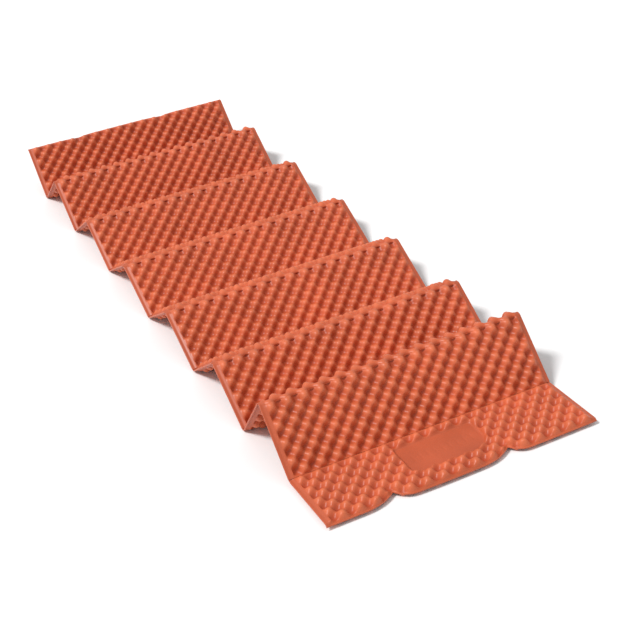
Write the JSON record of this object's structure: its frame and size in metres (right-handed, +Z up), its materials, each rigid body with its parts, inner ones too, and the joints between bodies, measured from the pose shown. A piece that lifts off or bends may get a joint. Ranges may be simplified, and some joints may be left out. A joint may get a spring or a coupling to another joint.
{
  "type": "foam sleeping pad",
  "caption": "Accordion-folding closed-cell foam sleeping pad with egg-crate panels that nest into a compact stack for carrying.",
  "frame": {"origin": "middle of the bottom of the pad's box, on the ground under the half-folded pad", "axes": "+X across the pad, +Y along it away from the front panel that lies flat, +Z up"},
  "size_m": [0.51, 1.5624, 0.1067],
  "materials": {
    "foam": "semi-matte moulded closed-cell foam skin, copper",
    "pressed_foam": "smooth pressed foam, copper"
  },
  "bodies": {
    "root": {"panel_01": "foam", "crease_web_01": "pressed_foam"},
    "panel_02_body": {"panel_02": "foam", "crease_web_02": "pressed_foam"},
    "panel_03_body": {"panel_03": "foam", "crease_web_03": "pressed_foam"},
    "panel_04_body": {"panel_04": "foam", "crease_web_04": "pressed_foam"},
    "panel_05_body": {"panel_05": "foam", "crease_web_05": "pressed_foam"},
    "panel_06_body": {"panel_06": "foam", "crease_web_06": "pressed_foam"},
    "panel_07_body": {"panel_07": "foam", "crease_web_07": "pressed_foam"},
    "panel_08_body": {"panel_08": "foam", "crease_web_08": "pressed_foam"},
    "panel_09_body": {"panel_09": "foam", "crease_web_09": "pressed_foam"},
    "panel_10_body": {"panel_10": "foam", "crease_web_10": "pressed_foam"},
    "panel_11_body": {"panel_11": "foam", "crease_web_11": "pressed_foam"},
    "panel_12_body": {"panel_12": "foam", "crease_web_12": "pressed_foam"},
    "panel_13_body": {"panel_13": "foam", "crease_web_13": "pressed_foam"},
    "panel_14_body": {"panel_14": "foam"}
  },
  "joints": [
    {"name": "fold_01", "type": "hinge", "parent": "root", "child": "panel_02_body", "pos_m": [0, -0.65116, 0.0146], "axis": [1, 0, 0], "range_deg": [-46.5, 133.5]},
    {"name": "fold_02", "type": "hinge", "parent": "panel_02_body", "child": "panel_03_body", "pos_m": [0, -0.55452, 0.10307], "axis": [-1, 0, 0], "range_deg": [-97.96, 82.04]},
    {"name": "fold_03", "type": "hinge", "parent": "panel_03_body", "child": "panel_04_body", "pos_m": [0, -0.46589, 0.00658], "axis": [1, 0, 0], "range_deg": [-86.46, 93.54]},
    {"name": "fold_04", "type": "hinge", "parent": "panel_04_body", "child": "panel_05_body", "pos_m": [0, -0.35355, 0.07401], "axis": [-1, 0, 0], "range_deg": [-69.44, 110.56]},
    {"name": "fold_05", "type": "hinge", "parent": "panel_05_body", "child": "panel_06_body", "pos_m": [0, -0.24055, 0.00769], "axis": [1, 0, 0], "range_deg": [-65.44, 114.56]},
    {"name": "fold_06", "type": "hinge", "parent": "panel_06_body", "child": "panel_07_body", "pos_m": [0, -0.12378, 0.06712], "axis": [-1, 0, 0], "range_deg": [-61.74, 118.26]},
    {"name": "fold_07", "type": "hinge", "parent": "panel_07_body", "child": "panel_08_body", "pos_m": [0, -0.00674, 0.00822], "axis": [1, 0, 0], "range_deg": [-59.74, 120.26]},
    {"name": "fold_08", "type": "hinge", "parent": "panel_08_body", "child": "panel_09_body", "pos_m": [0, 0.11203, 0.06354], "axis": [-1, 0, 0], "range_deg": [-58, 122]},
    {"name": "fold_09", "type": "hinge", "parent": "panel_09_body", "child": "panel_10_body", "pos_m": [0, 0.23081, 0.00822], "axis": [1, 0, 0], "range_deg": [-60, 120]},
    {"name": "fold_10", "type": "hinge", "parent": "panel_10_body", "child": "panel_11_body", "pos_m": [0, 0.34758, 0.06765], "axis": [-1, 0, 0], "range_deg": [-62.31, 117.69]},
    {"name": "fold_11", "type": "hinge", "parent": "panel_11_body", "child": "panel_12_body", "pos_m": [0, 0.46403, 0.0076], "axis": [1, 0, 0], "range_deg": [-68.31, 111.69]},
    {"name": "fold_12", "type": "hinge", "parent": "panel_12_body", "child": "panel_13_body", "pos_m": [0, 0.57395, 0.07891], "axis": [-1, 0, 0], "range_deg": [-74.98, 105.02]},
    {"name": "fold_13", "type": "hinge", "parent": "panel_13_body", "child": "panel_14_body", "pos_m": [0, 0.68263, 0.00574], "axis": [1, 0, 0], "range_deg": [-82.48, 97.52]}
  ]
}
